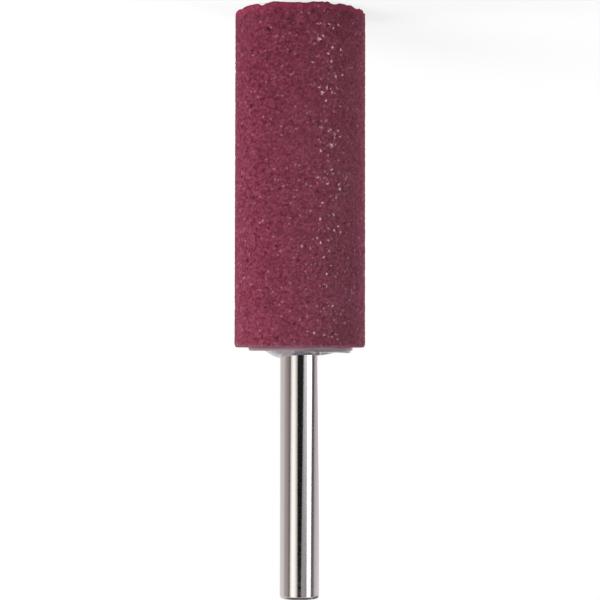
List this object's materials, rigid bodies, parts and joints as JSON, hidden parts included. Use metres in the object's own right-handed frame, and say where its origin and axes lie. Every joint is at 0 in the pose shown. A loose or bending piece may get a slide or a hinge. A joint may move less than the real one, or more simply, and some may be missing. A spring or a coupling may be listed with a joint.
{
  "type": "mounted point",
  "caption": "Cylindrical pink-brown abrasive grinding head cemented on a straight polished steel shank, for clamping in a grinder's collet.",
  "frame": {"origin": "centre of the flat free end of the abrasive head, which the part stands on", "axes": "+Z along the axis from the free end of the head to the free end of the shank; the cement ran towards -X; the pictured side faces -Y"},
  "size_m": [0.02, 0.02, 0.0894],
  "materials": {
    "abrasive": "rough vitrified grain, unglazed",
    "cement": "smooth hardened paste",
    "steel": "ground and polished"
  },
  "bodies": {
    "root": {"abrasive_head": "abrasive", "cement": "cement", "shank": "steel"}
  },
  "joints": []
}
